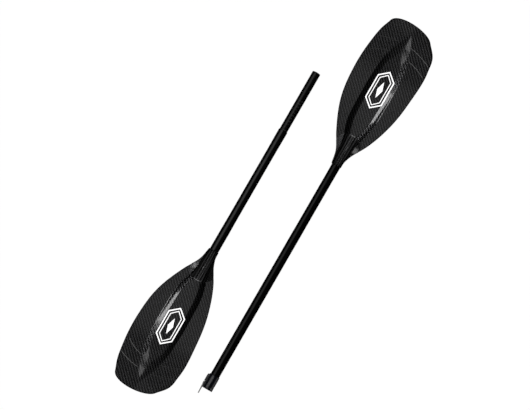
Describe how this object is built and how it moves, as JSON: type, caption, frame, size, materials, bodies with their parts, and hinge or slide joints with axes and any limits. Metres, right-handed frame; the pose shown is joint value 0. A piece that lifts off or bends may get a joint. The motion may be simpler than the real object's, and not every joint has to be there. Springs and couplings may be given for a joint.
{
  "type": "kayak paddle",
  "caption": "Two-piece carbon touring kayak paddle with ridged asymmetric blades, a lever-clamped socket ferrule and a spigot with a length scale, shown as separate halves.",
  "frame": {"origin": "centre of the socket mouth of the right half, on its shaft axis", "axes": "+X along both shafts, towards the right half's blade tip; +Y from the right half's axis to the left half's; +Z out of both power faces"},
  "size_m": [1.3694, 0.3917, 0.044],
  "materials": {
    "blade_skin": "gloss",
    "blade_rim": "gloss",
    "neck_wrap": "gloss",
    "shaft": "gloss",
    "spigot": "satin",
    "foam_core": "matte",
    "foam_bung": "matte",
    "collar": "satin",
    "lever_steel": "satin",
    "pin_steel": "polished",
    "rivet": "polished",
    "scale_paint": "matte",
    "end_cap": "matte"
  },
  "bodies": {
    "right_half": {"right_blade_front_skin": "blade_skin", "right_blade_back_skin": "blade_skin", "right_blade_core": "foam_core", "right_blade_rim": "blade_rim", "right_neck_wrap": "neck_wrap", "right_shaft": "shaft", "right_shaft_bung": "foam_bung", "clamp_collar": "collar", "lever_pin": "pin_steel", "collar_rivets": "rivet"},
    "lever": {"clamp_lever": "lever_steel"},
    "shoe": {"pressure_shoe": "pin_steel"},
    "screw": {"tension_screw": "pin_steel"},
    "line_up_carrier": {"spigot_bung": "foam_bung"},
    "insert_carrier": {"spigot_end_cap": "end_cap"},
    "left_half": {"left_blade_front_skin": "blade_skin", "left_blade_back_skin": "blade_skin", "left_blade_core": "foam_core", "left_blade_rim": "blade_rim", "left_neck_wrap": "neck_wrap", "left_shaft": "shaft", "left_shaft_bung": "foam_bung", "spigot_tube": "spigot", "spigot_scale": "scale_paint"}
  },
  "joints": [
    {"name": "halves_line_up", "type": "slide", "parent": "right_half", "child": "line_up_carrier", "axis": [-0.989, -0.1481, 0], "range_m": [0, 1.28314]},
    {"name": "spigot_insert", "type": "slide", "parent": "line_up_carrier", "child": "insert_carrier", "axis": [1, 0, 0], "range_m": [0, 0.4815]},
    {"name": "feather_turn", "type": "hinge", "parent": "insert_carrier", "child": "left_half", "pos_m": [0.8, 0.19, 0], "axis": [1, 0, 0], "range_deg": [-90, 90]},
    {"name": "lever_swing", "type": "hinge", "parent": "right_half", "child": "lever", "pos_m": [0.019, 0.0187, 0], "axis": [0, 0, -1], "range_deg": [0, 110]},
    {"name": "shoe_press", "type": "slide", "parent": "right_half", "child": "shoe", "axis": [0, 1, 0], "range_m": [0, 0.00066]},
    {"name": "tension_screw_turn", "type": "hinge", "parent": "right_half", "child": "screw", "pos_m": [0.036, 0.018, 0], "axis": [0, 1, 0], "range_deg": [-360, 360]}
  ],
  "couplings": [
    {"joint": "shoe_press", "follows": "lever_swing", "m_per_rad": 0.0003385}
  ]
}
